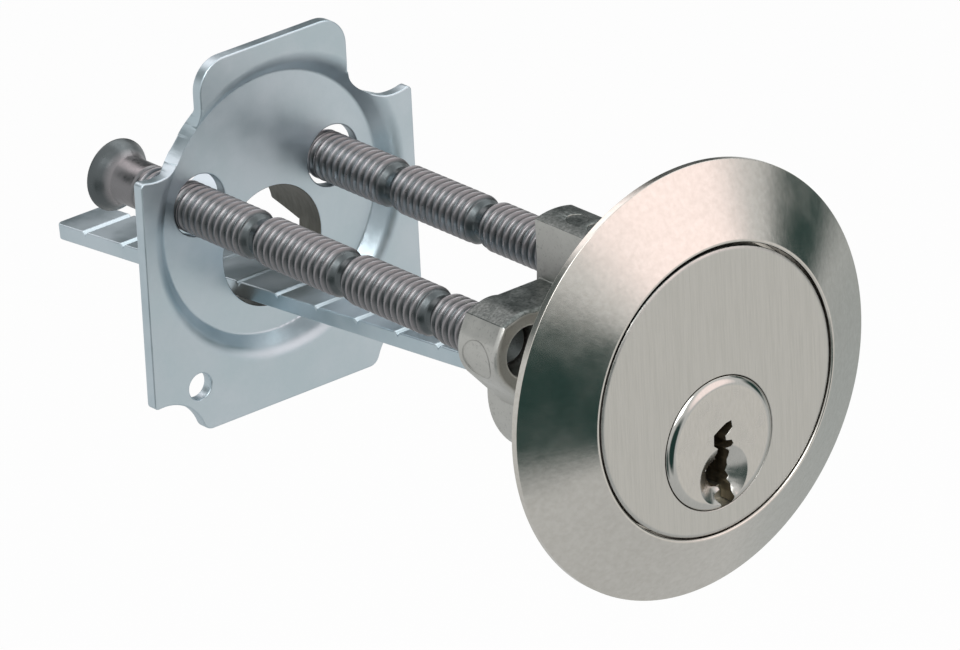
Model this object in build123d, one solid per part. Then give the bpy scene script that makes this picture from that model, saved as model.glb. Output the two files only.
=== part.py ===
"""Exterior rim cylinder of a night latch, with its fixing screws, backplate and tail bar.

Millimetres. The origin is on the cylinder axis, in the plane where the trim ring
meets the outside of the door. The face looks along -Y, +X is to the right when
the face is looked at, and +Z is up.
"""

import math
import os

from build123d import *

# Fits and clearances
running_clearance = 0.05
pressed_clearance = 0.02
seat_clearance = 0.05

# How far a cutter runs past the solid that it cuts
cut_past = 1.0

# Trim ring
ring_diameter = 52.0
ring_edge_height = 0.83
ring_cone_degrees = 28.4
ring_bore_diameter = 35.5
ring_lip_radius = 0.35
ring_wall = 1.1
ring_seat_depth = 2.8
ring_passage_diameter = 32.4

# Cylinder housing
face_diameter = 34.2
face_proud = 0.12
housing_drop = 0.1
face_edge_chamfer = 0.08
barrel_diameter = 18.8
barrel_rear = 24.0
plug_drop = 6.26
chamber_block_width = 5.6
chamber_block_top = 14.4
chamber_block_crown = 0.4
housing_rear = 22.0
ear_diameter = 9.8
ear_corner_out = 3.4
ear_corner_up = 4.1
ear_foot_degrees = 225
ear_thickness = 7.0
ear_edge_radius = 0.7
ear_hole_chamfer = 0.2
ejector_mark_diameter = 4.7
ejector_mark_depth = 0.1
ejector_mark_drop = 0.6
screw_spacing = 20.9
screw_rise = 2.17

# Plug and its pins
plug_diameter = 12.7
plug_head_diameter = 15.9
plug_head_thickness = 2.5
plug_head_clearance = 0.09
plug_bevel_width = 1.2
plug_bevel_height = 0.56
keyway_end = 21.5
dimple_radius = 3.6
dimple_floor_radius = 0.9
dimple_depth = 1.75
dimple_side_shift = 0.05
dimple_drop = 3.9
pin_count = 5
first_pin = 3.0
pin_spacing = 3.7
pin_diameter = 2.5
key_pin_lengths = (4.3, 5.5, 4.9, 6.0, 5.2)
key_pin_below_shear = 0.15
key_pin_tip_height = 0.8
key_pin_tip_radius = 0.45
key_pin_ledge = -1.0
driver_pin_length = 4.2
driver_pin_above_shear = 0.03
pin_edge_chamfer = 0.2
chamber_plug_thickness = 1.2
chamber_plug_recess = 0.12
spring_wire_diameter = 0.38
spring_outer_diameter = 2.3
spring_turns = 7

# Clip, tail driver and cross pin at the back of the plug
clip_gap_to_barrel = 0.15
clip_groove_width = 0.8
clip_groove_depth = 0.85
clip_rim = 1.15
clip_opening_degrees = 70
plug_tail_length = 0.65
driver_diameter = 8.6
driver_length = 7.0
driver_base = 0.6
driver_spigot_diameter = 4.0
driver_spigot_length = 4.0
tail_pin_diameter = 2.5
tail_pin_setback = 3.4

# Tail bar
tail_width = 7.4
tail_thickness = 2.0
tail_reach = 82.1
tail_root_gap = 0.4
tail_slot_drop = 0.65
tail_slot_clearance = 0.375
tail_pin_play = 0.15
tail_droop_degrees = 4.7
tail_corner_radius = 0.9
score_count = 10
score_spacing = 7.33
score_from_tip = 5.6
score_width = 0.9
score_depth = 0.45

# Backplate
plate_front = 72.0
plate_thickness = 1.5
plate_width = 41.2
plate_top = 20.5
plate_bottom = -25.4
plate_hang_x = 0.35
plate_hang_z = 0.42
dish_floor_radius = 16.2
dish_wall_width = 1.85
dish_depth = 2.2
dish_floor_bend = 0.5
dish_rim_bend = 2.4
dish_centre_z = -0.8
top_bite_radius = 6.9
top_bite_x = 18.0
top_bite_z = 15.0
bottom_bite_radius = 6.2
bottom_bite_x = 19.3
bottom_bite_z = -26.6
top_corner_radius = 3.8
bottom_corner_radius = 1.5
side_corner_radius = 0.6
plate_screw_hole_diameter = 7.6
plate_screw_hole_spacing = 20.3
plate_screw_hole_shift = -0.3
tail_hole_diameter = 14.8
collar_wall = 1.1
collar_length = 7.5
collar_low_length = 2.6
collar_step_low_z = -0.1
collar_step_high_z = 1.3
small_hole_diameter = 3.3
small_hole_spacing = 27.4
small_hole_z = -19.5

# Fixing screws
screw_diameter = 6.0
thread_depth = 0.5
thread_pitch = 1.14
thread_crest_share = 0.25
screw_tip = 18.5
notch_count = 4
first_notch = 30.0
notch_spacing = 15.96
notch_width = 3.0
notch_floor_width = 0.9
notch_neck_diameter = 4.4
thread_end = 83.5
shank_diameter = 5.8
shank_length = 3.3
screw_head_diameter = 8.9
screw_head_cone = 2.4
screw_head_rim = 0.2
screw_head_crown = 2.0
screw_slot_width = 1.2
screw_slot_depth = 1.5

# Places worked out from the sizes above
ring_slope = math.tan(math.radians(ring_cone_degrees))
ring_corner_y = -ring_edge_height - ring_slope * (ring_diameter - ring_bore_diameter) / 2
ring_lip_half_angle = math.radians(90 - ring_cone_degrees) / 2
ring_front_y = ring_corner_y + ring_lip_radius * (1 / math.tan(ring_lip_half_angle) - 1)
face_y = ring_front_y - face_proud
seat_y = ring_front_y + ring_seat_depth
flange_rear_y = seat_y - seat_clearance
plug_z = -housing_drop - plug_drop
screw_z = -housing_drop + screw_rise
screw_xs = (-screw_spacing / 2, screw_spacing / 2)
plug_face_y = face_y - plug_bevel_height
plug_head_rear_y = plug_face_y + plug_head_thickness
plug_radius = plug_diameter / 2
shear_z = plug_z + plug_radius
pin_ys = [first_pin + i * pin_spacing for i in range(pin_count)]
pin_radius = pin_diameter / 2
chamber_radius = pin_radius + running_clearance
chamber_plug_top_z = chamber_block_top - chamber_plug_recess
spring_top_z = chamber_plug_top_z - chamber_plug_thickness
driver_pin_bottom_z = shear_z + driver_pin_above_shear
driver_pin_top_z = driver_pin_bottom_z + driver_pin_length
key_pin_top_z = shear_z - key_pin_below_shear
clip_front_y = barrel_rear + clip_gap_to_barrel
clip_groove_radius = plug_radius - clip_groove_depth
plug_rear_y = clip_front_y + clip_groove_width + plug_tail_length
driver_rear_y = plug_rear_y + driver_length
tail_pin_y = plug_rear_y + tail_pin_setback
tail_root_y = plug_rear_y + driver_base + tail_root_gap
tail_z = plug_z - tail_slot_drop
tail_hole_z = plug_z
tail_tip_y = tail_pin_y + tail_reach
shank_end = thread_end + shank_length


# Cylinders and cones start at their low end
LOW_END = (Align.CENTER, Align.CENTER, Align.MIN)


def rod(radius, y_from, y_to, x=0.0, z=0.0):
    """Cylinder along Y."""
    return Pos(x, y_from, z) * Rot(-90, 0, 0) * Cylinder(radius, y_to - y_from, align=LOW_END)


def post(radius, z_from, z_to, x=0.0, y=0.0):
    """Cylinder along Z."""
    return Pos(x, y, z_from) * Cylinder(radius, z_to - z_from, align=LOW_END)


def slab(sketch, y_from, y_to):
    """Sketch whose own x and y are the part's X and Z, given a thickness along Y."""
    return extrude(Plane((0, y_to, 0), x_dir=(1, 0, 0), z_dir=(0, -1, 0)) * sketch, y_to - y_from)


def turned(profile, x=0.0, z=0.0):
    """Closed profile in radius and Y, spun about a line along Y."""
    return Pos(x, 0, z) * revolve(make_face(profile), Axis.Y, 360)


def block(x_from, x_to, y_from, y_to, z_from, z_to):
    """Box between two corners."""
    middle = ((x_from + x_to) / 2, (y_from + y_to) / 2, (z_from + z_to) / 2)
    return Pos(*middle) * Box(x_to - x_from, y_to - y_from, z_to - z_from)


def make_trim_ring():
    """Hollow cone with a thin edge wall, a rounded lip and a shelf for the flange."""
    outer = ring_diameter / 2
    bore = ring_bore_diameter / 2
    passage = ring_passage_diameter / 2
    web = bore + ring_wall
    behind = ring_wall / math.cos(math.radians(ring_cone_degrees))
    foot = outer - (behind - ring_edge_height) / ring_slope
    cavity_y = ring_corner_y + ring_slope * ring_wall + behind
    section = Polygon(
        (bore, ring_corner_y),
        (bore, seat_y),
        (passage, seat_y),
        (passage, seat_y + ring_wall),
        (web, seat_y + ring_wall),
        (web, cavity_y),
        (foot, 0),
        (outer, 0),
        (outer, -ring_edge_height),
        align=None,
    )
    lip = section.vertices().sort_by_distance((bore, ring_corner_y, 0))[0]
    return revolve(fillet(lip, ring_lip_radius), Axis.Y, 360)


def make_face_flange():
    """Round flange whose front is the brushed face."""
    flange = rod(face_diameter / 2, face_y, flange_rear_y, z=-housing_drop)
    return chamfer(flange.faces().sort_by(Axis.Y)[0].edges(), face_edge_chamfer)


def make_chamber_block():
    """Upright block with a crowned top, which holds the pin chambers."""
    half = chamber_block_width / 2
    shoulder = chamber_block_top - chamber_block_crown
    sides = Polyline((half, shoulder), (half, plug_z), (-half, plug_z), (-half, shoulder))
    crown = ThreePointArc((-half, shoulder), (0, chamber_block_top), (half, shoulder))
    return slab(make_face([sides, crown]), flange_rear_y, housing_rear)


def ear_point(angle):
    """Point on the near ear's round end, its angle measured from the middle outwards over the top."""
    boss = ear_diameter / 2
    return (screw_xs[0] + boss * math.cos(angle), screw_z + boss * math.sin(angle))


def ear_outline():
    """Bar between two round ends, each with a corner that runs off its circle at a tangent."""
    boss = ear_diameter / 2
    corner_angle = math.atan2(ear_corner_up, -ear_corner_out)
    spread = math.acos(boss / math.hypot(ear_corner_out, ear_corner_up))
    near_side = [
        ear_point(corner_angle - spread),
        (screw_xs[0] - ear_corner_out, screw_z + ear_corner_up),
        ear_point(corner_angle + spread),
        ear_point(math.radians(ear_foot_degrees)),
        (-barrel_diameter / 2, plug_z),
    ]
    far_side = [(-x, z) for x, z in reversed(near_side)]
    outline = Polygon(*near_side, *far_side, align=None)
    return outline + [Pos(x, screw_z) * Circle(boss) for x in screw_xs]


def make_ears():
    """Cross bar at the rear with an ear for each fixing screw."""
    bar = slab(ear_outline(), housing_rear - ear_thickness, housing_rear)
    rims = bar.faces().sort_by(Axis.Y)[0].edges() + bar.faces().sort_by(Axis.Y)[-1].edges()
    return fillet(rims, ear_edge_radius)


def make_ejector_mark():
    """Thin round skin, taken off the near ear's side where the mould's ejector pin pushed."""
    boss = ear_diameter / 2
    x = screw_xs[0]
    y = housing_rear - ear_thickness / 2
    skin = rod(boss + cut_past, y - boss, y + boss, x=x, z=screw_z)
    skin -= rod(boss - ejector_mark_depth, y - boss, y + boss, x=x, z=screw_z)
    pin = Cylinder(ejector_mark_diameter / 2, 2 * boss, align=LOW_END)
    return skin & (Pos(x, y, screw_z - ejector_mark_drop) * Rot(0, -90, 0) * pin)


def make_cylinder_housing():
    """Flange, barrel, chamber block and ears as one casting, with its bores."""
    body = make_face_flange() + rod(barrel_diameter / 2, flange_rear_y, barrel_rear, z=plug_z)
    body += make_chamber_block() + make_ears()
    body -= rod(plug_radius + running_clearance, face_y - cut_past, barrel_rear + cut_past, z=plug_z)
    head_radius = plug_head_diameter / 2 + plug_head_clearance
    body -= rod(head_radius, face_y - cut_past, plug_head_rear_y + seat_clearance, z=plug_z)
    for y in pin_ys:
        body -= post(chamber_radius, plug_z, chamber_block_top + cut_past, y=y)
    ear_front = housing_rear - ear_thickness
    hole = screw_diameter / 2 + running_clearance
    for x in screw_xs:
        mouth = Cone(hole + ear_hole_chamfer, hole, ear_hole_chamfer, align=LOW_END)
        body -= rod(hole, ear_front - cut_past, housing_rear + cut_past, x=x, z=screw_z)
        body -= Pos(x, ear_front, screw_z) * Rot(-90, 0, 0) * mouth
    return body - make_ejector_mark()


def keyway_outline():
    """Zigzag key slot, measured from the plug's centre, open at the bottom."""
    bottom = -plug_head_diameter / 2 - cut_past
    right_side = [
        (1.55, bottom), (1.6, -7.0), (1.45, -6.4), (1.65, -5.65), (1.4, -5.1), (1.7, -4.75), (1.45, -4.2),
        (1.65, -3.45), (1.5, -2.7), (1.55, -2.2), (1.4, -1.35), (0.65, -0.75), (1.35, -0.7), (1.65, -0.35),
        (1.45, 0.1), (0.6, 0.3), (0.55, 0.85), (1.15, 1.25), (1.6, 1.65), (1.5, 2.5),
    ]
    left_side = [
        (0.7, 2.4), (-0.15, 2.0), (-1.15, 1.45), (-1.2, 0.15), (-0.7, -0.25), (-0.35, -1.15), (-0.45, -1.6),
        (-0.05, -2.2), (-0.8, -2.6), (-1.6, -2.9), (-1.3, -4.2), (-0.95, -5.25), (0.15, -5.65),
        (0.2, -6.0), (-0.85, -6.2), (-1.0, -6.5), (-0.3, -7.5), (-0.3, bottom),
    ]
    return Polygon(*right_side, *left_side, align=None)


def make_key_plug():
    """Turning plug with a bevelled head, keyway, key dimple, pin holes and clip groove."""
    head = plug_head_diameter / 2
    bevel_inner = head - plug_bevel_width
    bevel = TangentArc((bevel_inner, plug_face_y), (head, face_y), tangent=(1, 0))
    groove_front = clip_front_y
    groove_rear = clip_front_y + clip_groove_width
    rest = Polyline(
        (head, face_y),
        (head, plug_head_rear_y),
        (plug_radius, plug_head_rear_y),
        (plug_radius, groove_front),
        (clip_groove_radius, groove_front),
        (clip_groove_radius, groove_rear),
        (plug_radius, groove_rear),
        (plug_radius, plug_rear_y),
        (0, plug_rear_y),
        (0, plug_face_y),
        (bevel_inner, plug_face_y),
    )
    plug = turned([bevel, rest], z=plug_z)
    plug -= Pos(0, 0, plug_z) * slab(keyway_outline(), plug_face_y - cut_past, keyway_end)
    dimple = turned(
        Polyline(
            (0, plug_face_y - cut_past),
            (dimple_radius, plug_face_y - cut_past),
            (dimple_radius, plug_face_y),
            (dimple_floor_radius, plug_face_y + dimple_depth),
            (0, plug_face_y + dimple_depth),
            close=True,
        ),
        x=dimple_side_shift,
        z=plug_z - dimple_drop,
    )
    plug -= dimple
    for y in pin_ys:
        plug -= post(chamber_radius, plug_z + key_pin_ledge, shear_z + cut_past, y=y)
    bore = driver_spigot_diameter / 2 + pressed_clearance
    plug -= rod(bore, plug_rear_y - driver_spigot_length, plug_rear_y + cut_past, z=plug_z)
    return plug


def make_key_pin(index):
    """Bottom pin with a blunt cone at its lower end, just under the shear line."""
    length = key_pin_lengths[index % len(key_pin_lengths)]
    bottom = key_pin_top_z - length
    body = post(pin_radius, bottom + key_pin_tip_height, key_pin_top_z, y=pin_ys[index])
    tip = Cone(key_pin_tip_radius, pin_radius, key_pin_tip_height, align=LOW_END)
    return body + Pos(0, pin_ys[index], bottom) * tip


def make_driver_pin(index):
    """Top pin, held just above the shear line."""
    pin = post(pin_radius, driver_pin_bottom_z, driver_pin_top_z, y=pin_ys[index])
    return chamfer(pin.edges().filter_by(GeomType.CIRCLE), pin_edge_chamfer)


def make_pin_spring(index):
    """Coil spring from the driver pin up to the chamber plug."""
    wire = spring_wire_diameter / 2
    low = driver_pin_top_z + wire
    height = spring_top_z - wire - low
    coil_radius = spring_outer_diameter / 2 - wire
    path = Helix(pitch=height / spring_turns, height=height, radius=coil_radius)
    section = Plane(path @ 0, z_dir=path % 0) * Circle(wire)
    return Pos(0, pin_ys[index], low) * sweep(section, path, is_frenet=True)


def make_chamber_plugs():
    """Small plugs pressed into the tops of the pin chambers."""
    radius = chamber_radius - pressed_clearance
    return Compound([post(radius, spring_top_z, chamber_plug_top_z, y=y) for y in pin_ys])


def make_plug_retaining_clip():
    """Open ring in the plug's groove."""
    inner = clip_groove_radius + running_clearance
    outer = plug_radius + clip_rim
    reach = 2 * outer
    half_angle = math.radians(clip_opening_degrees / 2)
    opening = Polygon(
        (0, 0),
        (-reach * math.sin(half_angle), -reach * math.cos(half_angle)),
        (reach * math.sin(half_angle), -reach * math.cos(half_angle)),
        align=None,
    )
    outline = Circle(outer) - Circle(inner) - opening
    side_play = running_clearance
    front = clip_front_y + side_play
    rear = clip_front_y + clip_groove_width - side_play
    return Pos(0, 0, plug_z) * slab(outline, front, rear)


def make_tail_driver():
    """Round end piece with a spigot into the plug and a slot for the tail bar."""
    radius = driver_diameter / 2
    spigot = driver_spigot_diameter / 2
    body = rod(radius, plug_rear_y, driver_rear_y, z=plug_z)
    spigot_front = plug_rear_y - driver_spigot_length + seat_clearance
    body += rod(spigot, spigot_front, plug_rear_y + driver_base, z=plug_z)
    half_slot = tail_thickness / 2 + tail_slot_clearance
    slot_front = plug_rear_y + driver_base
    slot_rear = driver_rear_y + cut_past
    body -= block(-radius, radius, slot_front, slot_rear, tail_z - half_slot, tail_z + half_slot)
    hole = tail_pin_diameter / 2 + pressed_clearance
    return body - post(hole, plug_z - radius, plug_z + radius, y=tail_pin_y)


def make_tail_pin():
    """Cross pin through the driver and the tail bar, ground flush with the driver."""
    half_length = math.sqrt((driver_diameter / 2) ** 2 - (tail_pin_diameter / 2) ** 2)
    return post(tail_pin_diameter / 2, plug_z - half_length, plug_z + half_length, y=tail_pin_y)


def make_tail_bar():
    """Flat bar scored across its top so that it can be snapped to length, hanging on its pin."""
    half = tail_width / 2
    low = tail_z - tail_thickness / 2
    high = tail_z + tail_thickness / 2
    bar = block(-half, half, tail_root_y, tail_tip_y, low, high)
    tip_corners = bar.edges().filter_by(Axis.Z).group_by(Axis.Y)[-1]
    bar = fillet(tip_corners, tail_corner_radius)
    side_view = Plane((-half - cut_past, 0, 0), x_dir=(0, 1, 0), z_dir=(1, 0, 0))
    for i in range(score_count):
        y = tail_tip_y - score_from_tip - i * score_spacing
        groove = Polygon(
            (y - score_width / 2, high), (y, high - score_depth), (y + score_width / 2, high), align=None
        )
        bar -= extrude(side_view * groove, tail_width + 2 * cut_past)
    bar -= post(tail_pin_diameter / 2 + tail_pin_play, low - cut_past, high + cut_past, y=tail_pin_y)
    return bar.rotate(Axis((0, tail_pin_y, tail_z), (1, 0, 0)), -tail_droop_degrees)


def backplate_outline():
    """Rectangle with round bites out of its lower corners and round-ended slots out of its upper ones."""
    height = plate_top - plate_bottom
    outline = Pos(0, (plate_top + plate_bottom) / 2) * Rectangle(plate_width, height)
    bite_width = 2 * top_bite_radius
    for side in (-1, 1):
        outline -= Pos(side * top_bite_x, top_bite_z) * Circle(top_bite_radius)
        outline -= Pos(side * top_bite_x, top_bite_z + top_bite_radius) * Rectangle(bite_width, bite_width)
        outline -= Pos(side * bottom_bite_x, bottom_bite_z) * Circle(bottom_bite_radius)
    corners = outline.vertices()
    outline = fillet(corners.group_by(Axis.Y)[-1], top_corner_radius)
    outline = fillet(outline.vertices().group_by(Axis.Y)[0], bottom_corner_radius)
    side_corners = outline.vertices().group_by(Axis.X)[0] + outline.vertices().group_by(Axis.X)[-1]
    return fillet(side_corners, side_corner_radius)


def make_dish():
    """Round dish pressed to the rear: a flat floor, a sloping wall and a bend out to the rim."""
    floor_y = plate_front + dish_depth
    rear_y = plate_front + plate_thickness
    lean = math.atan2(dish_depth, dish_wall_width) / 2
    corner = dish_floor_radius + dish_wall_width
    shift = plate_thickness * math.tan(lean)
    edge = corner + shift + dish_rim_bend * math.tan(lean)
    section = Polygon(
        (0, floor_y),
        (dish_floor_radius, floor_y),
        (corner, plate_front),
        (edge, plate_front),
        (edge, rear_y),
        (corner + shift, rear_y),
        (dish_floor_radius + shift, floor_y + plate_thickness),
        (0, floor_y + plate_thickness),
        align=None,
    )
    bends = {
        (dish_floor_radius, floor_y): dish_floor_bend,
        (corner, plate_front): dish_rim_bend,
        (corner + shift, rear_y): dish_rim_bend - plate_thickness,
        (dish_floor_radius + shift, floor_y + plate_thickness): dish_floor_bend + plate_thickness,
    }
    for (radius, y), bend in bends.items():
        section = fillet(section.vertices().sort_by_distance((radius, y, 0))[0], bend)
    return Pos(0, 0, dish_centre_z) * revolve(section, Axis.Y, 360), edge


def make_collar():
    """Neck drawn round the tail hole, which tore as it was drawn and is short on its lower part."""
    outer = tail_hole_diameter / 2 + collar_wall
    root_y = plate_front + dish_depth + plate_thickness
    low_end = root_y + collar_low_length
    high_end = root_y + collar_length
    neck = rod(outer, root_y - plate_thickness / 2, high_end, z=tail_hole_z)
    torn_off = Polygon(
        (low_end, -outer - cut_past),
        (high_end + cut_past, -outer - cut_past),
        (high_end + cut_past, collar_step_high_z),
        (high_end, collar_step_high_z),
        (low_end, collar_step_low_z),
        align=None,
    )
    reach = outer + cut_past
    side_view = Plane((-reach, 0, tail_hole_z), x_dir=(0, 1, 0), z_dir=(1, 0, 0))
    return neck - extrude(side_view * torn_off, 2 * reach)


def make_backplate():
    """Pressed plate with its dish, drawn collar and holes, as it hangs on the screws."""
    past_dish = plate_front + dish_depth + plate_thickness + collar_length + cut_past
    outline = backplate_outline()
    dish, dish_edge = make_dish()
    sheet = slab(outline, plate_front, plate_front + plate_thickness)
    sheet -= rod(dish_edge, plate_front - cut_past, past_dish, z=dish_centre_z)
    plate = sheet + (dish & slab(outline, plate_front - cut_past, past_dish)) + make_collar()
    plate -= rod(tail_hole_diameter / 2, plate_front, past_dish, z=tail_hole_z)
    screw_hole = plate_screw_hole_diameter / 2
    small_hole = small_hole_diameter / 2
    for side in (-1, 1):
        screw_hole_x = plate_screw_hole_shift + side * plate_screw_hole_spacing / 2
        small_hole_x = side * small_hole_spacing / 2
        plate -= rod(screw_hole, plate_front, past_dish, x=screw_hole_x, z=screw_z)
        plate -= rod(small_hole, plate_front - cut_past, past_dish, x=small_hole_x, z=small_hole_z)
    return Pos(plate_hang_x, 0, plate_hang_z) * plate


def screw_side_points():
    """Radius and Y along the outside of a screw, from its tip to the end of its thread."""
    crest = screw_diameter / 2
    root = crest - thread_depth
    neck = notch_neck_diameter / 2
    half_crest = thread_pitch * thread_crest_share / 2
    half_root = half_crest
    half_floor = notch_floor_width / 2
    notches = [first_notch + i * notch_spacing for i in range(notch_count)]
    starts = [screw_tip] + [y + notch_width / 2 for y in notches]
    ends = [y - notch_width / 2 for y in notches] + [thread_end]
    points = [(0, screw_tip), (root, screw_tip)]
    for start, end in zip(starts, ends):
        ridges = int((end - start) / thread_pitch)
        first_ridge = start + (end - start - (ridges - 1) * thread_pitch) / 2
        for i in range(ridges):
            middle = first_ridge + i * thread_pitch
            points.append((root, middle - thread_pitch / 2 + half_root))
            points.append((crest, middle - half_crest))
            points.append((crest, middle + half_crest))
            points.append((root, middle + thread_pitch / 2 - half_root))
        if end != thread_end:
            notch = end + notch_width / 2
            points.append((neck, notch - half_floor))
            points.append((neck, notch + half_floor))
    points.append((root, thread_end))
    return points


def make_fixing_screw(x):
    """Break-off screw: thread with snapping notches, plain neck and raised slotted head."""
    shank = shank_diameter / 2
    head = screw_head_diameter / 2
    cone_end = shank_end + screw_head_cone
    rim_end = cone_end + screw_head_rim
    top = rim_end + screw_head_crown
    side = screw_side_points() + [(shank, thread_end), (shank, shank_end), (head, cone_end), (head, rim_end)]
    outside = Polyline(*side)
    crown = TangentArc((0, top), (head, rim_end), tangent=(1, 0))
    axis_line = Line((0, top), (0, screw_tip))
    screw = turned([outside, crown, axis_line], x=x, z=screw_z)
    half = screw_slot_width / 2
    slot = block(x - head, x + head, top - screw_slot_depth, top + cut_past, screw_z - half, screw_z + half)
    return screw - slot


def save(shape, name):
    """Write one piece."""
    export_step(shape, f"parts/{name}.step")


def main():
    os.makedirs("parts", exist_ok=True)
    save(make_trim_ring(), "trim_ring")
    save(make_cylinder_housing(), "cylinder_housing")
    save(make_key_plug(), "key_plug")
    for i in range(pin_count):
        save(make_key_pin(i), f"key_pin_{i + 1}")
        save(make_driver_pin(i), f"driver_pin_{i + 1}")
        save(make_pin_spring(i), f"pin_spring_{i + 1}")
    save(make_chamber_plugs(), "chamber_plugs")
    save(make_plug_retaining_clip(), "plug_retaining_clip")
    save(make_tail_driver(), "tail_driver")
    save(make_tail_pin(), "tail_pin")
    save(make_tail_bar(), "tail_bar")
    save(make_backplate(), "backplate")
    for x, name in zip(screw_xs, ("near_fixing_screw", "far_fixing_screw")):
        save(make_fixing_screw(x), name)


main()
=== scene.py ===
# %% [markdown]
# # A night latch's rim cylinder
#
# The object is the outside half of a night latch. A cone-shaped ring lies on the
# outside of the door, and a round lock passes through the door behind it. Two long
# screws, seen behind the ring, hold the lock to a pressed plate on the inside, and a
# flat bar runs from the back of the lock through that plate to turn the latch.
#
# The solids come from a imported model, in metres. This script keeps their sizes and
# places, and gives them the surfaces, rounded edges and true screw threads that a
# close view needs.

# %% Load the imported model
import math

import bmesh
import bpy
from mathutils import Matrix, Vector


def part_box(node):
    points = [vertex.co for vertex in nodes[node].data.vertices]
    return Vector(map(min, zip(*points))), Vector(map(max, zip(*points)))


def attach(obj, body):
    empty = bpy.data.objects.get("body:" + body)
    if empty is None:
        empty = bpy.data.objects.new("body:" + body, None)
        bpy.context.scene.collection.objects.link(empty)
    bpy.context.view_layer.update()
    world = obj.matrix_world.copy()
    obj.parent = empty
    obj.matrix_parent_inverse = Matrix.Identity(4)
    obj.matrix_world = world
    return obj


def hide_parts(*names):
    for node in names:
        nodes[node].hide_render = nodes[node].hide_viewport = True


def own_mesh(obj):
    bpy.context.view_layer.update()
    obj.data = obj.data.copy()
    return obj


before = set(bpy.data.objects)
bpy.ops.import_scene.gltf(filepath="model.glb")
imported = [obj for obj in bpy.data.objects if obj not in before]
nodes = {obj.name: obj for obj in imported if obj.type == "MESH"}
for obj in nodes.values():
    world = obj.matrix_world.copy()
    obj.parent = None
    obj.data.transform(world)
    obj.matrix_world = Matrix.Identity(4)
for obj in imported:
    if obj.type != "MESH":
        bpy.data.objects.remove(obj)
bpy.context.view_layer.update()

# %% [markdown]
# ## Sizes that the pieces share
#
# Every size of the object is a real one, written in millimetres and turned into metres
# where it is used. The origin is in the middle of the ring, where it meets the door: the
# face looks along -Y, and +Z is up. The plug, which takes the key, sits below the middle.
# Points nearer than same_place are one point, and same_plane is the slack of a cut.

# %% Name the shared sizes and places
MM = 0.001
same_place = 0.001
same_plane = 0.0002
plug_low, plug_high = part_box("key_plug")
plug_middle = Vector((0, 0, (plug_low.z + plug_high.z) / 2))
screw_middles = {}
for side in ("near", "far"):
    low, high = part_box(f"{side}_fixing_screw")
    screw_middles[side] = Vector(((low.x + high.x) / 2, 0, (low.z + high.z) / 2))
print("plug below the middle by", round(-plug_middle.z / MM, 2), "mm")

# %% [markdown]
# ## Finishing a piece
#
# A mesh is only a surface. To be a piece of this object it also needs outward faces,
# soft shading that breaks at real edges, its finishes, and the body that it moves
# with. One helper gives it all but the outward faces, which the mesh brings with it,
# so that no piece misses a step.

# %% Define the helper that finishes a piece
def finish_piece(name, bm, body, finishes, replaced, sharp_degrees=34):
    """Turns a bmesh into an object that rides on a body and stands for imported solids."""
    mesh = bpy.data.meshes.new(name)
    bm.to_mesh(mesh)
    bm.free()
    mesh.shade_smooth()
    mesh.set_sharp_from_angle(angle=math.radians(sharp_degrees))
    for finish in finishes:
        mesh.materials.append(finish)
    piece = bpy.data.objects.new(name, mesh)
    bpy.context.scene.collection.objects.link(piece)
    weights = piece.modifiers.new("flat_faces_stay_flat", "WEIGHTED_NORMAL")
    weights.keep_sharp = True
    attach(piece, body)
    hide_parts(*replaced)
    print(name, "has", len(mesh.polygons), "faces")
    return piece


# %% [markdown]
# ## Building blocks for the finishes
#
# Each finish is a small net of nodes. Object coordinates keep a pattern fixed to the
# metal when a piece turns. The helpers below make a node, set its plain sockets and
# wire noise into roughness, colour and bump.

# %% Define the helpers for finishes
def new_finish(name, colour, roughness, metallic=1.0):
    """An empty finish with one Principled shader, and its node tree."""
    finish = bpy.data.materials.new(name)
    finish.use_nodes = True
    tree = finish.node_tree
    shader = tree.nodes["Principled BSDF"]
    shader.inputs["Base Color"].default_value = (*colour, 1)
    shader.inputs["Roughness"].default_value = roughness
    shader.inputs["Metallic"].default_value = metallic
    return finish, tree, shader


def object_pattern(tree, scale=(1, 1, 1)):
    """Object coordinates, stretched along each axis."""
    place = tree.nodes.new("ShaderNodeTexCoord")
    stretch = tree.nodes.new("ShaderNodeMapping")
    stretch.inputs["Scale"].default_value = scale
    tree.links.new(place.outputs["Object"], stretch.inputs["Vector"])
    return stretch.outputs["Vector"]


def distance_from(tree, middle):
    """The distance from a line along Y through a middle, in metres."""
    centred = object_pattern(tree, (1, 0, 1))
    centred.node.inputs["Location"].default_value = (-middle.x, 0, -middle.z)
    length = tree.nodes.new("ShaderNodeVectorMath")
    length.operation = "LENGTH"
    tree.links.new(centred, length.inputs[0])
    return length.outputs["Value"]


def noise(tree, vector, scale, detail=4.0, roughness=0.55):
    """Noise between about 0.3 and 0.7 at so many lumps per metre."""
    texture = tree.nodes.new("ShaderNodeTexNoise")
    texture.inputs["Scale"].default_value = scale
    texture.inputs["Detail"].default_value = detail
    texture.inputs["Roughness"].default_value = roughness
    tree.links.new(vector, texture.inputs["Vector"])
    return texture.outputs["Fac"]


def stretch_range(tree, value, low, high, to_low, to_high):
    """Maps the noise's useful range onto the range that a socket needs."""
    node = tree.nodes.new("ShaderNodeMapRange")
    node.inputs["From Min"].default_value = low
    node.inputs["From Max"].default_value = high
    node.inputs["To Min"].default_value = to_low
    node.inputs["To Max"].default_value = to_high
    tree.links.new(value, node.inputs["Value"])
    return node.outputs["Result"]


def two_colours(tree, value, first, second):
    """A colour between two, chosen by a value from 0 to 1."""
    node = tree.nodes.new("ShaderNodeMix")
    node.data_type = "RGBA"
    node.inputs["A"].default_value = (*first, 1)
    node.inputs["B"].default_value = (*second, 1)
    tree.links.new(value, node.inputs["Factor"])
    return node.outputs["Result"]


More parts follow.
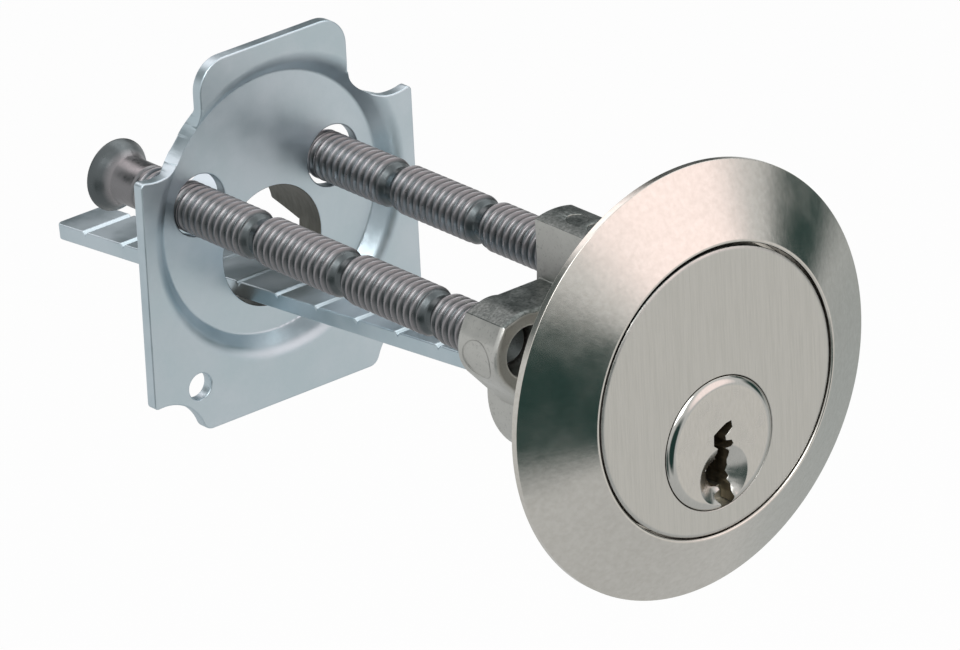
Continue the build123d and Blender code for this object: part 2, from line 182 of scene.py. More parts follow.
def add_bump(tree, shader, height, depth, strength=1.0, before=None):
    """Raises the surface by a height of 0 to 1 times a depth in metres."""
    node = tree.nodes.new("ShaderNodeBump")
    node.inputs["Strength"].default_value = strength
    node.inputs["Distance"].default_value = depth
    tree.links.new(height, node.inputs["Height"])
    if before is not None:
        tree.links.new(before, node.inputs["Normal"])
    tree.links.new(node.outputs["Normal"], shader.inputs["Normal"])
    return node.outputs["Normal"]


# %% [markdown]
# ## Satin nickel on the ring
#
# The ring is turned brass with a soft nickel plate. Its gloss is cloudy: it blurs a
# window into a patch of light with a mottled edge, and faint marks run straight out
# from the middle where it was buffed. Noise that reads only the direction from the
# middle gives those marks, and two more noises give the clouds and the mottle.

# %% Make the ring's finish
def make_ring_finish():
    finish, tree, shader = new_finish("satin_nickel", (0.72, 0.69, 0.64), 0.2)
    place = object_pattern(tree)
    spoke_place = tree.nodes.new("ShaderNodeVectorMath")
    spoke_place.operation = "NORMALIZE"
    flat = object_pattern(tree, (1, 0, 1))
    tree.links.new(flat, spoke_place.inputs[0])
    spokes = noise(tree, spoke_place.outputs["Vector"], 55, 5.0)
    clouds = noise(tree, place, 160, 4.0)
    specks = noise(tree, place, 1400, 2.0)
    rough = stretch_range(tree, clouds, 0.35, 0.65, 0.16, 0.24)
    tree.links.new(rough, shader.inputs["Roughness"])
    tint = stretch_range(tree, specks, 0.3, 0.7, 0.0, 1.0)
    colour = two_colours(tree, tint, (0.69, 0.66, 0.61), (0.76, 0.73, 0.68))
    tree.links.new(colour, shader.inputs["Base Color"])
    bumped = add_bump(tree, shader, spokes, 0.00004, 0.04)
    mottled = add_bump(tree, shader, noise(tree, place, 600, 4.0, 0.6), 0.00004, 0.2, bumped)
    add_bump(tree, shader, specks, 0.00002, 0.25, mottled)
    return finish


ring_finish = make_ring_finish()
print("made", ring_finish.name)

# %% [markdown]
# ## Brushed nickel on the lock's face
#
# The flat face was drawn once across a belt, so all its scratches run up and down.
# Noise squeezed far more along X than along Z makes short hairlines, and they change the
# colour, the roughness and the height of the surface.

# %% Make the brushed finish
def make_brushed_finish():
    finish, tree, shader = new_finish("brushed_nickel", (0.64, 0.63, 0.59), 0.36)
    hairs = noise(tree, object_pattern(tree, (36, 1, 1.4)), 110, 5.0, 0.7)
    rough = stretch_range(tree, hairs, 0.3, 0.7, 0.30, 0.44)
    tree.links.new(rough, shader.inputs["Roughness"])
    tint = stretch_range(tree, hairs, 0.3, 0.6, 0.0, 1.0)
    colour = two_colours(tree, tint, (0.57, 0.565, 0.53), (0.66, 0.65, 0.61))
    tree.links.new(colour, shader.inputs["Base Color"])
    add_bump(tree, shader, hairs, 0.00003, 0.6)
    return finish


brushed_finish = make_brushed_finish()
print("made", brushed_finish.name)

# %% [markdown]
# ## Cast nickel on the housing
#
# Behind the face the housing is as it left the mould, plated but not polished. Its
# skin is slightly lumpy, with a few dark specks. The faces on top of the two ears and
# of the pin block, and the chamber plugs, take a much darker copy with more specks:
# that darkness is painted shade on these upward faces.

# %% Make the cast finishes
def make_cast_finish(name, dark, bright, speck_end):
    """Lumpy metal with dark specks: the higher their end in the noise, the more there are."""
    finish, tree, shader = new_finish(name, bright, 0.38)
    place = object_pattern(tree)
    lumps = noise(tree, place, 420, 3.0)
    specks = noise(tree, place, 2600, 3.0, 0.7)
    rough = stretch_range(tree, lumps, 0.35, 0.65, 0.3, 0.46)
    tree.links.new(rough, shader.inputs["Roughness"])
    tint = stretch_range(tree, specks, 0.3, speck_end, 0.0, 1.0)
    tree.links.new(two_colours(tree, tint, dark, bright), shader.inputs["Base Color"])
    bumped = add_bump(tree, shader, lumps, 0.00008, 0.4)
    add_bump(tree, shader, specks, 0.00002, 0.3, bumped)
    return finish


cast_finish = make_cast_finish("cast_nickel", (0.46, 0.46, 0.435), (0.60, 0.595, 0.565), 0.44)
# painted shade: this much darker copy goes on the faces that look up
painted_shade_finish = make_cast_finish("cast_painted_shade", (0.09, 0.105, 0.10), (0.32, 0.34, 0.33), 0.75)
print("made", cast_finish.name, "and", painted_shade_finish.name)

# %% [markdown]
# ## Bright nickel on the plug
#
# The plug's head is turned and plated. Its flat is satin like the face round it, and
# its bevel is almost a mirror, so the roughness follows the distance from the plug's
# own middle.

# %% Make the plug's finish
def make_plug_finish():
    finish, tree, shader = new_finish("bright_nickel", (0.68, 0.66, 0.62), 0.2)
    place = object_pattern(tree)
    clouds = noise(tree, place, 500, 3.0)
    hairs = noise(tree, object_pattern(tree, (4, 1, 1)), 900, 4.0)
    satin = stretch_range(tree, clouds, 0.3, 0.7, 0.2, 0.3)
    out = distance_from(tree, plug_middle)
    rough = stretch_range(tree, out, 6.6 * MM, 7.0 * MM, 0.2, 0.08)
    tree.links.new(satin, rough.node.inputs["To Min"])
    tree.links.new(rough, shader.inputs["Roughness"])
    tint = stretch_range(tree, hairs, 0.3, 0.7, 0.0, 1.0)
    colour = two_colours(tree, tint, (0.60, 0.59, 0.555), (0.65, 0.635, 0.60))
    tree.links.new(colour, shader.inputs["Base Color"])
    add_bump(tree, shader, clouds, 0.00002, 0.25)
    return finish


plug_finish = make_plug_finish()
print("made", plug_finish.name)

# %% [markdown]
# ## Zinc on the plate and the tail bar
#
# Pressed steel plated with zinc is blue-grey and slightly blotchy. The blotches are
# broad and soft, and there are darker pinholes here and there.

# %% Make the zinc finish
def make_zinc_finish():
    finish, tree, shader = new_finish("blue_zinc", (0.62, 0.715, 0.77), 0.4)
    place = object_pattern(tree)
    blotches = noise(tree, place, 130, 4.0)
    grain = noise(tree, place, 1500, 4.0, 0.65)
    rough = stretch_range(tree, blotches, 0.35, 0.65, 0.33, 0.47)
    tree.links.new(rough, shader.inputs["Roughness"])
    tint = stretch_range(tree, blotches, 0.35, 0.65, 0.0, 1.0)
    colour = two_colours(tree, tint, (0.56, 0.665, 0.72), (0.68, 0.765, 0.82))
    tree.links.new(colour, shader.inputs["Base Color"])
    bumped = add_bump(tree, shader, blotches, 0.0001, 0.25)
    add_bump(tree, shader, grain, 0.00003, 0.4, bumped)
    return finish


zinc_finish = make_zinc_finish()
print("made", zinc_finish.name)

# %% [markdown]
# ## Dark steel on the screws
#
# The screws are rolled steel with a thin, dark plate that leans to red. Along the
# thread the crests carry a painted highlight and the roots painted shade, and the head is
# darker, so the colour follows the distance from the screw's own axis, which a Mapping
# node puts at zero.

# %% Make the screws' finish
def make_screw_finish(side):
    finish, tree, shader = new_finish(f"dark_steel_{side}", (0.24, 0.24, 0.25), 0.34)
    place = object_pattern(tree)
    out = distance_from(tree, screw_middles[side])
    # painted highlight on the thread's crests, painted shade in its roots
    crest_highlight_root_shade = stretch_range(tree, out, 2.6 * MM, 3.0 * MM, 0.0, 1.0)
    thread_highlight_and_shade = two_colours(tree, crest_highlight_root_shade, (0.12, 0.135, 0.14), (0.32, 0.305, 0.315))
    head = stretch_range(tree, out, 3.0 * MM, 3.6 * MM, 0.0, 1.0)
    colour = two_colours(tree, head, (0, 0, 0), (0.135, 0.15, 0.155))
    tree.links.new(thread_highlight_and_shade, colour.node.inputs["A"])
    tree.links.new(colour, shader.inputs["Base Color"])
    grain = noise(tree, place, 1800, 3.0)
    rough = stretch_range(tree, grain, 0.3, 0.7, 0.26, 0.4)
    tree.links.new(rough, shader.inputs["Roughness"])
    add_bump(tree, shader, grain, 0.00002, 0.4)
    return finish


screw_finishes = {side: make_screw_finish(side) for side in screw_middles}
print("made", [finish.name for finish in screw_finishes.values()])

# %% [markdown]
# ## Plain brass and spring steel inside
#
# The pins are turned brass, the walls of the keyway are brass gone dull, and the springs
# and the clip are bright drawn steel. The inside of the plate's torn collar is bare
# steel, painted dark as the shade inside the collar. All of these hardly show, so each
# has one grain that changes its colour and roughness a little.

# %% Make the inner finishes
def make_grained_finish(name, dark, bright, roughness):
    finish, tree, shader = new_finish(name, bright, roughness)
    grain = noise(tree, object_pattern(tree, (1, 1, 0.2)), 1500, 3.0)
    tint = stretch_range(tree, grain, 0.3, 0.7, 0.0, 1.0)
    tree.links.new(two_colours(tree, tint, dark, bright), shader.inputs["Base Color"])
    rough = stretch_range(tree, grain, 0.3, 0.7, roughness, roughness + 0.12)
    tree.links.new(rough, shader.inputs["Roughness"])
    add_bump(tree, shader, grain, 0.00002, 0.3)
    return finish


brass_finish = make_grained_finish("turned_brass", (0.70, 0.52, 0.24), (0.80, 0.62, 0.32), 0.25)
keyway_finish = make_grained_finish("dull_brass", (0.24, 0.21, 0.15), (0.42, 0.36, 0.25), 0.4)
steel_finish = make_grained_finish("drawn_steel", (0.50, 0.50, 0.51), (0.64, 0.64, 0.65), 0.25)
# painted shade: a dark finish for the shaded inner wall of the collar
collar_shade_finish = make_grained_finish("bare_steel_painted_shade", (0.16, 0.15, 0.13), (0.26, 0.25, 0.225), 0.5)
inner_finishes = (brass_finish, keyway_finish, steel_finish, collar_shade_finish)
print("made", [finish.name for finish in inner_finishes])

# %% [markdown]
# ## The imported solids' own finishes
#
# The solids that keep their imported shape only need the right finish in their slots.

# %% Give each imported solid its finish
finish_of = {
    "trim_ring": ring_finish,
    "cylinder_housing": cast_finish,
    "key_plug": plug_finish,
    # the chamber plugs take the darker copy, which is painted shade
    "chamber_plugs": painted_shade_finish,
    "plug_retaining_clip": steel_finish,
    "tail_driver": zinc_finish,
    "tail_pin": steel_finish,
    "tail_bar": zinc_finish,
    "backplate": zinc_finish,
    "near_fixing_screw": screw_finishes["near"],
    "far_fixing_screw": screw_finishes["far"],
}
for name, node in nodes.items():
    if name.startswith(("key_pin", "driver_pin")):
        finish_of[name] = brass_finish
    elif name.startswith("pin_spring"):
        finish_of[name] = steel_finish
    for slot in node.material_slots:
        slot.material = finish_of[name]
print("finishes given to", len(finish_of), "solids")

# %% [markdown]
# ## The ring
#
# The ring is turned, so its shape is one section spun about the lock's middle. The
# section is drawn as a closed chain of points, spun all the way round and merged. Then
# the inner lip gets a wide bevel and every other corner a fine one. Inside, a stop
# catches the lock's flange, and behind it the ring is hollow.

# %% Spin the ring
ring_low, ring_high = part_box("trim_ring")
ring_outer = ring_high.x / MM
ring_bore, ring_lip_y = 17.45, -5.42
stop_bore, stop_front_y, stop_back_y = 16.2, -2.254, -1.154
hollow_radius, hollow_front_y = 18.85, -3.446
edge_wall, edge_depth = 0.78, 0.83
lip_round, corner_round = 0.55, 0.06
steps_round_ring = 200
behind_lip_y = -4.5
ring_section = [
    (ring_bore, ring_lip_y), (ring_bore, stop_front_y), (stop_bore, stop_front_y),
    (stop_bore, stop_back_y), (hollow_radius, stop_back_y), (hollow_radius, hollow_front_y),
    (ring_outer - edge_wall, 0), (ring_outer, 0), (ring_outer, -edge_depth),
]


def spin_section(section, middle, steps):
    """A closed section of (radius, y) points, spun about a line along Y."""
    bm = bmesh.new()
    corners = [bm.verts.new((middle.x + radius * MM, y * MM, middle.z)) for radius, y in section]
    edges = [bm.edges.new((corners[i - 1], corners[i])) for i in range(len(corners))]
    bmesh.ops.spin(
        bm, geom=corners + edges, cent=middle, axis=(0, 1, 0), angle=math.tau, steps=steps, use_merge=True
    )
    bmesh.ops.remove_doubles(bm, verts=bm.verts, dist=same_place * MM)
    bmesh.ops.recalc_face_normals(bm, faces=bm.faces)
    return bm


def round_edges(bm, edges, width, segments):
    """Bevels these edges with a round profile."""
    bmesh.ops.bevel(
        bm, geom=edges, offset=width * MM, offset_type="OFFSET", affect="EDGES", segments=segments,
        profile=0.5, material=-1, clamp_overlap=False,
    )


def sharp_edges(bm, degrees):
    """The edges whose two faces meet at more than an angle."""
    return [edge for edge in bm.edges if edge.is_manifold and edge.calc_face_angle() > math.radians(degrees)]


def edges_ahead(edges, y):
    """Those of the edges that lie wholly in front of a plane across the lock."""
    return [edge for edge in edges if all(vert.co.y < y for vert in edge.verts)]


def edges_behind(edges, y):
    """Those of the edges that lie wholly behind a plane across the lock."""
    return [edge for edge in edges if all(vert.co.y > y for vert in edge.verts)]


ring = spin_section(ring_section, Vector((0, 0, 0)), steps_round_ring)
lip = edges_ahead(ring.edges, (ring_lip_y + 10 * same_place) * MM)
round_edges(ring, lip, lip_round, 6)
corners = edges_behind(sharp_edges(ring, 40), behind_lip_y * MM)
round_edges(ring, corners, corner_round, 2)
finish_piece("turned_ring", ring, "ring", [ring_finish], ["trim_ring"])

# %% [markdown]
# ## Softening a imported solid
#
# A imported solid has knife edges, but a cast or pressed edge always has a small round
# that catches the light. A copy of the solid's mesh is merged into one skin, its flat
# faces are joined again, and each edge sharper than thirty degrees is bevelled.

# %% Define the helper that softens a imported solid
def merged_copy(node_name, above=None, merge=same_place):
    """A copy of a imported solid's mesh, or of its part above a plane, as one skin."""
    bm = bmesh.new()
    bm.from_mesh(nodes[node_name].data)
    bmesh.ops.remove_doubles(bm, verts=bm.verts, dist=merge * MM)
    if above is not None:
        bmesh.ops.bisect_plane(
            bm, geom=bm.verts[:] + bm.edges[:] + bm.faces[:], dist=same_plane * MM,
            plane_co=(0, above * MM, 0), plane_no=(0, 1, 0), clear_inner=True,
        )
    bmesh.ops.dissolve_limit(bm, angle_limit=math.radians(0.3), verts=bm.verts, edges=bm.edges)
    return bm


def soft_copy(node_name, width, segments=2, degrees=30, above=None):
    """A merged copy with its sharp edges rounded."""
    bm = merged_copy(node_name, above)
    round_edges(bm, sharp_edges(bm, degrees), width, segments)
    return bm


# %% [markdown]
# ## The housing
#
# The housing is one casting, brushed on its round face and left as cast elsewhere. The
# copy keeps the cast finish. The faces that lie in the front plane and look along -Y
# take the brushed one, and the faces on top take the dark one, which is painted shade.

# %% Soften the housing and brush its face
def brush_front(bm, front_y):
    """Gives the second finish to the faces in the front plane."""
    brushed = 0
    for face in bm.faces:
        if face.normal.y < -0.98 and abs(face.calc_center_median().y - front_y) < 0.05 * MM:
            face.material_index = 1
            brushed += 1
    return brushed


def shade_tops(bm, least_z):
    """Gives the third finish, darkened as painted shade, to the faces that look up, on the ears and on the
    pin block.
    """
    painted_faces = 0
    for face in bm.faces:
        if face.normal.z > 0.5 and face.calc_center_median().z > least_z * MM:
            face.material_index = 2
            painted_faces += 1
    return painted_faces


def face_rim(bm, front_y, least_radius):
    """The edges round the face, in the front plane and far from the middle."""
    far_out = least_radius * MM
    found = []
    for edge in bm.edges:
        in_front = all(abs(vert.co.y - front_y) < same_place * MM for vert in edge.verts)
        if in_front and all(math.hypot(vert.co.x, vert.co.z) > far_out for vert in edge.verts):
            found.append(edge)
    return found


face_rim_round, cast_edge_round = 0.3, 0.12
face_rim_least_radius = 16.5
shaded_top_least_z = 4.0
housing = merged_copy("cylinder_housing")
housing_front_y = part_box("cylinder_housing")[0].y
round_edges(housing, face_rim(housing, housing_front_y, face_rim_least_radius), face_rim_round, 4)
round_edges(housing, sharp_edges(housing, 30), cast_edge_round, 2)
print("brushed faces:", brush_front(housing, housing_front_y))
# the faces that look up take the darker finish, which is painted shade
print("dull faces:", shade_tops(housing, shaded_top_least_z))
finish_piece(
    "cast_housing", housing, "housing", [cast_finish, brushed_finish, painted_shade_finish],
    ["cylinder_housing"],
)

# %% [markdown]
# ## The plug, the clip and the driver
#
# The plug's keyway is cut by a broach, so its edges are only just broken. Only the edges
# of the plug's head are rounded, because the rest runs close inside the housing. Under
# the plating the plug is brass, which shows on the walls of the keyway and the pin holes:
# the walls that run along Y and don't face straight out from the plug's middle.

# %% Soften the plug, the clip and the driver
def bare_inside(bm, middle, reach):
    """Gives the second finish to the walls inside the plug."""
    for face in bm.faces:
        centre = face.calc_center_median()
        out = Vector((centre.x - middle.x, 0, centre.z - middle.z))
        inside = out.length < reach * MM or face.normal.dot(out.normalized()) < 0.7
        if abs(face.normal.y) < 0.1 and inside:
            face.material_index = 1


plug_head_back_y = -3.5
plug_edge_round = 0.06
inside_radius = 5.0
plug = merged_copy("key_plug")
round_edges(plug, edges_ahead(sharp_edges(plug, 30), plug_head_back_y * MM), plug_edge_round, 2)
bare_inside(plug, plug_middle, inside_radius)
finish_piece("turned_plug", plug, "plug", [plug_finish, keyway_finish], ["key_plug"])
clip_edge_round, driver_edge_round = 0.06, 0.12
clip = soft_copy("plug_retaining_clip", clip_edge_round)
finish_piece("bent_clip", clip, "plug", [steel_finish], ["plug_retaining_clip"])
driver = soft_copy("tail_driver", driver_edge_round)
finish_piece("slotted_driver", driver, "plug", [zinc_finish], ["tail_driver"])

# %% [markdown]
# ## The pin springs
#
# A spring stands between a driver pin and the plug that closes its chamber. When the
# pin lifts, the spring's lower end goes up with it. Here each spring is only a merged
# copy of the imported one, with a mesh of its own, riding on the housing.

# %% Copy the springs onto the housing
def make_spring(index):
    """A merged copy of a packed spring, with a mesh of its own, riding on the housing."""
    piece = finish_piece(
        f"coiled_spring_{index}", merged_copy(f"pin_spring_{index}"), "housing",
        [steel_finish], [f"pin_spring_{index}"],
    )
    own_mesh(piece)
    return piece


pin_count = sum(name.startswith("pin_spring") for name in nodes)
springs = [make_spring(index) for index in range(1, pin_count + 1)]
print("springs:", len(springs))

# %% [markdown]
# ## The plate and the tail bar
#
# Both are pressed: the punch draws their edges over, and a wider bevel shows that. On
# the plate only the edges between the flat sheet and the walls that the punch cut are
# bevelled, because the dish is already round where it bends. Inside the collar the
# steel was torn, and it takes a dark finish that paints the shade inside the collar.

# %% Soften the plate and the tail bar
collar_shift = Vector((0.35, 0, 0.42)) * MM
collar_middle = plug_middle + collar_shift
collar_hole_radius = 7.4
pressed_edge_round = 0.2


def punched_edges(bm):
    """The edges where a flat side of the sheet meets a wall that the punch cut."""
    found = []
    for edge in bm.edges:
        if edge.is_manifold:
            leans = sorted(abs(face.normal.y) for face in edge.link_faces)
            if leans[0] < 0.2 and leans[1] > 0.8:
                found.append(edge)
    return found


def shade_collar_wall(bm, middle, radius):
    """Gives the second finish, bare steel darkened as painted shade, to the inside wall of the collar."""
    for face in bm.faces:
        centre = face.calc_center_median()
        out = Vector((centre.x - middle.x, 0, centre.z - middle.z))
        if abs(out.length / MM - radius) < 0.15 and face.normal.dot(out.normalized()) < -0.7:
            face.material_index = 1


plate = merged_copy("backplate", merge=10 * same_place)
round_edges(plate, punched_edges(plate), pressed_edge_round, 3)
# painted shade on the collar's inner wall
shade_collar_wall(plate, collar_middle, collar_hole_radius)
finish_piece("pressed_plate", plate, "plate", [zinc_finish, collar_shade_finish], ["backplate"])
bar = soft_copy("tail_bar", pressed_edge_round, 3)
finish_piece("scored_bar", bar, "tail", [zinc_finish], ["tail_bar"])

# %% [markdown]
# ## The fixing screws
#
# A rolled thread is one ridge that winds round the screw. Its section over one pitch is
# a short chain of points. Spinning it once round while it moves along by one pitch
# makes one turn, and doubling the turns a few times makes the thread. The waists, where
# a long screw is snapped off, and the blunt tip then squeeze the thread: no point may
# lie outside a simple outline. The plain neck and the slotted head come from the packed
# screw, and are bridged on.

# %% Name the screw's sizes
screw_radius = 3.0
thread_root_radius = 2.5
flank_low_radius, flank_high_radius = 2.62, 2.88
thread_pitch = 1.14
thread_start, thread_finish = 18.5, 83.5
tip_step, tip_slope = 0.15, 0.8
first_waist, waist_spacing, waist_count = 30.0, 15.96, 4
waist_middles = [first_waist + waist_spacing * i for i in range(waist_count)]
waist_radius, waist_half_width, waist_floor = 2.2, 1.5, 0.45
neck_radius = 2.9
fade_before_neck, fade_length = 1.6, 1.4
neck_start = thread_finish + 0.5
head_edge_round = 0.12
steps_per_turn = 40


# %% Wind the thread
def outline_radius(y):
    """How far out the thread may reach at a place along the screw, in millimetres."""
    allowed = min(screw_radius, thread_root_radius - tip_step + (y - thread_start) * tip_slope)
    for middle in waist_middles:
        out = abs(y - middle)
        slope = (screw_radius - waist_radius) / (waist_half_width - waist_floor)
        allowed = min(allowed, waist_radius + max(0.0, out - waist_floor) * slope)
    return allowed


def wind_thread(middle):
    """An open thread, one pitch longer at each end than the screw needs."""
    bm = bmesh.new()
    quarter = thread_pitch / 4
    section = [
        (thread_root_radius, 0.0), (thread_root_radius, quarter * 0.5),
        (flank_low_radius, quarter * 0.9), (flank_high_radius, quarter * 1.35),
        (screw_radius, quarter * 1.8), (screw_radius, quarter * 2.7),
        (flank_high_radius, quarter * 3.15), (flank_low_radius, quarter * 3.6),
        (thread_root_radius, thread_pitch),
    ]
    first_y = thread_start - thread_pitch
    points = [bm.verts.new((middle.x + r * MM, (first_y + y) * MM, middle.z)) for r, y in section]
    edges = [bm.edges.new((points[i], points[i + 1])) for i in range(len(points) - 1)]
    advance = Vector((0, thread_pitch * MM / steps_per_turn, 0))
    bmesh.ops.spin(
        bm, geom=points + edges, cent=middle, axis=(0, 1, 0), angle=-math.tau, steps=steps_per_turn,
        dvec=advance,
    )
    turns = 1
    while first_y + turns * thread_pitch < thread_finish + thread_pitch:
        copied = bmesh.ops.duplicate(bm, geom=bm.verts[:] + bm.edges[:] + bm.faces[:])
        moved = [part for part in copied["geom"] if isinstance(part, bmesh.types.BMVert)]
        bmesh.ops.translate(bm, verts=moved, vec=(0, turns * thread_pitch * MM, 0))
        turns *= 2
    bmesh.ops.remove_doubles(bm, verts=bm.verts, dist=3 * same_place * MM)
    return bm


def squeeze_thread(bm, middle):
    """Draws every point outside the outline in to it, and fades the thread into the neck."""
    for vert in bm.verts:
        out = Vector((vert.co.x - middle.x, 0, vert.co.z - middle.z))
        y = vert.co.y / MM
        radius = min(out.length / MM, outline_radius(y))
        fade = min(1.0, max(0.0, (y - thread_finish + fade_before_neck) / fade_length))
        radius += (neck_radius - radius) * fade
        out = out.normalized() * radius * MM
        vert.co.x = middle.x + out.x
        vert.co.z = middle.z + out.z


def cut_flat(bm, y, keep_above):
    """Cuts off what lies beyond a plane across the screw."""
    bmesh.ops.bisect_plane(
        bm, geom=bm.verts[:] + bm.edges[:] + bm.faces[:], dist=same_plane * MM,
        plane_co=(0, y * MM, 0), plane_no=(0, 1, 0), clear_inner=keep_above, clear_outer=not keep_above,
    )


def rim_at(bm, y):
    """The open edges that lie in a plane across the screw."""
    found = []
    for edge in bm.edges:
        if edge.is_boundary and all(abs(vert.co.y / MM - y) < same_place for vert in edge.verts):
            found.append(edge)
    return found


def make_screw(side):
    """A whole screw: wound thread, flat tip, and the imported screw's neck and head."""
    middle = screw_middles[side]
    bm = wind_thread(middle)
    squeeze_thread(bm, middle)
    cut_flat(bm, thread_start, keep_above=True)
    cut_flat(bm, thread_finish, keep_above=False)
    bmesh.ops.holes_fill(bm, edges=rim_at(bm, thread_start))
    head = soft_copy(f"{side}_fixing_screw", head_edge_round, 2, 40, above=neck_start)
    head_mesh = bpy.data.meshes.new("head")
    head.to_mesh(head_mesh)
    head.free()
    bm.from_mesh(head_mesh)
    bpy.data.meshes.remove(head_mesh)
    bmesh.ops.bridge_loops(bm, edges=rim_at(bm, thread_finish) + rim_at(bm, neck_start))
    bmesh.ops.recalc_face_normals(bm, faces=bm.faces)
    open_edges = [edge for edge in bm.edges if not edge.is_manifold]
    print(side, "screw open edges:", len(open_edges))
    return bm


for side in screw_middles:
    finish_piece(
        f"{side}_screw", make_screw(side), f"{side}_screw", [screw_finishes[side]],
        [f"{side}_fixing_screw"], 50,
    )

# %% [markdown]
# ## Floor, light and camera
#
# Metal shows what is round it, so the light is a soft surround with a few large
# patches: a bright window ahead, a bright strip above and behind, and darker corners
# that draw the ring's shape. Each patch has a direction, the angles in degrees at which
# it begins and ends to fade, and a colour. The camera sees a white studio, and the
# floor lies well below.

# %% Name the patches of light
window_light, back_light = (1.40, 1.22, 1.20), (1.7, 1.58, 1.58)
pale_card, grey_card = (0.78, 0.76, 0.73), (0.40, 0.43, 0.43)
black_card, dark_card = (0.02, 0.05, 0.045), (0.06, 0.09, 0.085)
cool_card, plain_card = (0.06, 0.08, 0.08), (0.06, 0.07, 0.07)
patches = [
    ((0.46, -0.80, 0.38), 16, 28, window_light),
    ((-0.26, -0.93, -0.17), 17, 26, black_card),
    ((0.97, -0.24, -0.03), 7, 17, black_card),
    ((0.58, -0.71, -0.40), 4, 18, pale_card),
    ((0.88, 0.12, -0.45), 8, 24, grey_card),
    ((-0.80, -0.45, -0.40), 10, 24, dark_card),
    ((0.93, -0.12, 0.35), 6, 14, dark_card),
    ((0.10, 0.70, 0.71), 8, 24, back_light),
    ((-0.50, 0.70, 0.45), 10, 22, cool_card),
    ((0.62, 0.66, 0.38), 14, 32, plain_card),
]
print("patches:", len(patches))


# %% Build the studio
def make_surround():
    """A world that is white to the camera and soft patches of light to everything else."""
    world = bpy.data.worlds.new("studio")
    bpy.context.scene.world = world
    world.use_nodes = True
    tree = world.node_tree
    tree.nodes.clear()
    place = tree.nodes.new("ShaderNodeTexCoord")
    height = tree.nodes.new("ShaderNodeSeparateXYZ")
    tree.links.new(place.outputs["Generated"], height.inputs["Vector"])
    up = stretch_range(tree, height.outputs["Z"], -1.0, 1.0, 0.0, 1.0)
    colour = two_colours(tree, up, (0.54, 0.55, 0.55), (0.79, 0.80, 0.80))
    for direction, inner, outer, patch_colour in patches:
        toward = tree.nodes.new("ShaderNodeVectorMath")
        toward.operation = "DOT_PRODUCT"
        toward.inputs[1].default_value = Vector(direction).normalized()
        tree.links.new(place.outputs["Generated"], toward.inputs[0])
        edge, core = math.cos(math.radians(outer)), math.cos(math.radians(inner))
        share = stretch_range(tree, toward.outputs["Value"], edge, core, 0.0, 1.0)
        mix = tree.nodes.new("ShaderNodeMix")
        mix.data_type = "RGBA"
        mix.inputs["B"].default_value = (*patch_colour, 1)
        tree.links.new(share, mix.inputs["Factor"])
        tree.links.new(colour, mix.inputs["A"])
        colour = mix.outputs["Result"]
    light_path = tree.nodes.new("ShaderNodeLightPath")
    surround = tree.nodes.new("ShaderNodeBackground")
    tree.links.new(colour, surround.inputs["Color"])
    white = tree.nodes.new("ShaderNodeBackground")
    white.inputs["Color"].default_value = (1, 1, 1, 1)
    either = tree.nodes.new("ShaderNodeMixShader")
    output = tree.nodes.new("ShaderNodeOutputWorld")
    tree.links.new(light_path.outputs["Is Camera Ray"], either.inputs["Fac"])
    tree.links.new(surround.outputs["Background"], either.inputs[1])
    tree.links.new(white.outputs["Background"], either.inputs[2])
    tree.links.new(either.outputs["Shader"], output.inputs["Surface"])
    return world


def make_floor():
    """A wide pale floor, nearly white to the camera, that still takes a faint shadow."""
    glow_share, floor_size, floor_z = 0.94, 4.0, -0.25
    finish, tree, shader = new_finish("pale_floor", (0.85, 0.85, 0.85), 0.9, 0.0)
    glow = tree.nodes.new("ShaderNodeEmission")
    light_path = tree.nodes.new("ShaderNodeLightPath")
    share = tree.nodes.new("ShaderNodeMath")
    share.operation = "MULTIPLY"
    share.inputs[1].default_value = glow_share
    either = tree.nodes.new("ShaderNodeMixShader")
    tree.links.new(light_path.outputs["Is Camera Ray"], share.inputs[0])
    tree.links.new(share.outputs["Value"], either.inputs["Fac"])
    tree.links.new(shader.outputs["BSDF"], either.inputs[1])
    tree.links.new(glow.outputs["Emission"], either.inputs[2])
    tree.links.new(either.outputs["Shader"], tree.nodes["Material Output"].inputs["Surface"])
    bm = bmesh.new()
    bmesh.ops.create_grid(bm, x_segments=1, y_segments=1, size=floor_size)
    bmesh.ops.translate(bm, verts=bm.verts, vec=(0, 0, floor_z))
    mesh = bpy.data.meshes.new("floor")
    bm.to_mesh(mesh)
    bm.free()
    mesh.materials.append(finish)
    floor = bpy.data.objects.new("floor", mesh)
    bpy.context.scene.collection.objects.link(floor)
    floor.visible_glossy = False
    return floor


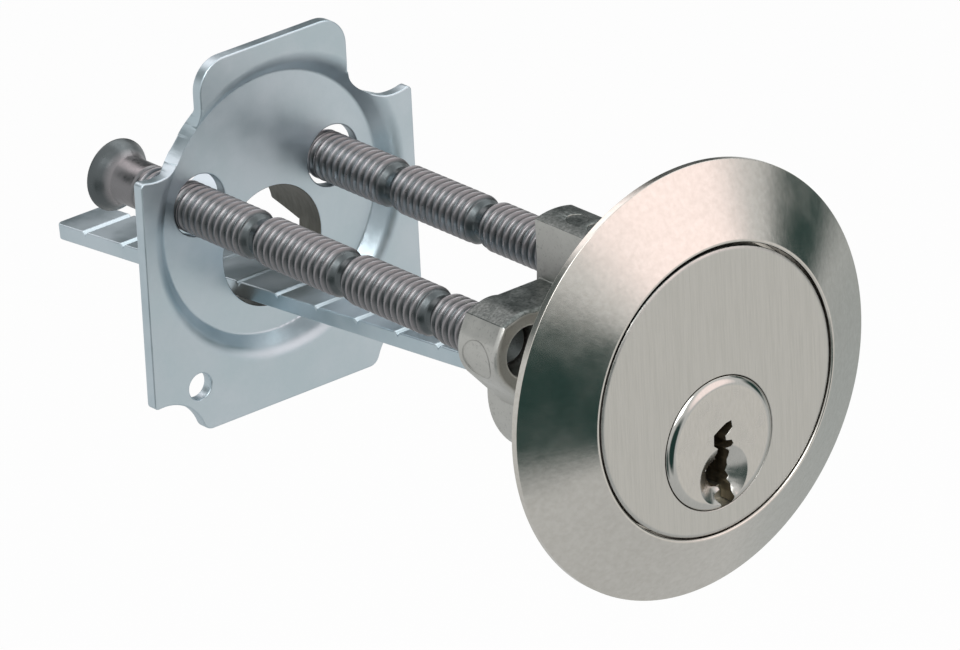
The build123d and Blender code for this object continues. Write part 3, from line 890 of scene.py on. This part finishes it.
def add_softbox(name, toward, width, power):
    """An area light that faces the middle of the object from a direction."""
    light_distance, object_middle = 0.6, Vector((0, 0.045, 0))
    light = bpy.data.lights.new(name, "AREA")
    light.size = width
    light.energy = power
    lamp = bpy.data.objects.new(name, light)
    direction = Vector(toward).normalized()
    lamp.location = object_middle + direction * light_distance
    lamp.rotation_euler = direction.to_track_quat("Z", "Y").to_euler()
    bpy.context.scene.collection.objects.link(lamp)
    return lamp


make_surround()
make_floor()
add_softbox("key_light", (-0.45, -0.75, 0.75), 0.35, 1.2)
add_softbox("fill_light", (0.7, 0.2, 0.8), 0.5, 0.7)
print("studio ready")

# %% [markdown]
# ## The camera
#
# The camera stands where the photograph was taken from: ahead, to the left and above,
# far away with a long lens. Its place follows from three angles, the distance and the
# pixel of the picture on which the origin falls.

# %% Place the camera
picture_width, picture_height = 960, 650
view_turn, view_tilt, view_roll = math.radians(39.4363), math.radians(-23.8911), math.radians(-2.9197)
view_distance = 1.2
pixels_per_metre = 8872.6
origin_pixel = (686.283, 378.583)
sensor_width = 36.0


def place_camera():
    level_forward = Vector((math.sin(view_turn), math.cos(view_turn), 0))
    forward = level_forward * math.cos(view_tilt) + Vector((0, 0, math.sin(view_tilt)))
    level_right = forward.cross(Vector((0, 0, 1))).normalized()
    level_up = level_right.cross(forward)
    right = level_right * math.cos(view_roll) + level_up * math.sin(view_roll)
    up = level_up * math.cos(view_roll) - level_right * math.sin(view_roll)
    across = (origin_pixel[0] - picture_width / 2) / pixels_per_metre
    down = (origin_pixel[1] - picture_height / 2) / pixels_per_metre
    data = bpy.data.cameras.new("camera")
    data.sensor_width = sensor_width
    data.lens = sensor_width * view_distance * pixels_per_metre / picture_width
    data.clip_end = 10
    camera = bpy.data.objects.new("camera", data)
    turn = Matrix((right, up, -forward)).transposed().to_4x4()
    camera.matrix_world = Matrix.Translation(-forward * view_distance - right * across + up * down) @ turn
    bpy.context.scene.collection.objects.link(camera)
    bpy.context.scene.camera = camera
    return camera


camera = place_camera()
bpy.context.scene.view_settings.view_transform = "Standard"
print("lens", round(camera.data.lens), "mm")
